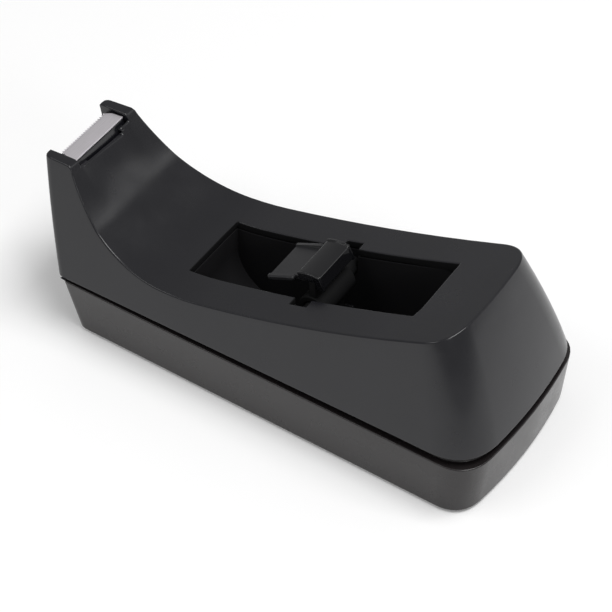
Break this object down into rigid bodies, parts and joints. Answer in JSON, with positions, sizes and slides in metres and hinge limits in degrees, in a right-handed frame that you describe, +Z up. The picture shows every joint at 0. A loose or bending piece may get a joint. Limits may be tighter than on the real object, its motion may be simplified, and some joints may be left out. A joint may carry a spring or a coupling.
{
  "type": "desk tape dispenser",
  "caption": "Weighted desktop tape dispenser with a swept-up cutter nose, a deep roll well and a lift-out spinning hub.",
  "frame": {"origin": "on the desk, under the middle of the object's outer box", "axes": "+X from the cutter to the rear end, +Y across to the right of someone looking from the rear end to the cutter, +Z up"},
  "size_m": [0.1527, 0.0642, 0.0548],
  "materials": {
    "shell_plastic": "fine matte texture",
    "well_plastic": "satin",
    "tray_plastic": "fine matte texture",
    "pad_rubber": "closed-cell foam",
    "ballast_iron": "as cast",
    "blade_steel": "satin",
    "axle_plastic": "satin",
    "hub_gloss_plastic": "polished",
    "leaf_plastic": "satin",
    "screw_steel": "zinc plated"
  },
  "bodies": {
    "housing": {"upper_shell": "shell_plastic", "roll_well": "well_plastic", "base_tray": "tray_plastic", "non_skid_pad": "pad_rubber", "ballast_front": "ballast_iron", "ballast_rear": "ballast_iron", "blade_holder": "shell_plastic", "cutter_blade": "blade_steel", "screw_front_near": "screw_steel", "screw_front_far": "screw_steel", "screw_rear_near": "screw_steel", "screw_rear_far": "screw_steel"},
    "axle": {"hub_axle": "axle_plastic"},
    "hub": {"hub_core": "hub_gloss_plastic", "hub_leaf": "leaf_plastic"}
  },
  "joints": [
    {"name": "hub_lift", "type": "slide", "parent": "housing", "child": "axle", "axis": [0, 0, 1], "range_m": [0, 0.03]},
    {"name": "hub_spin", "type": "hinge", "parent": "axle", "child": "hub", "pos_m": [0.0088, 0, 0.0303], "axis": [0, 1, 0], "continuous": true}
  ]
}
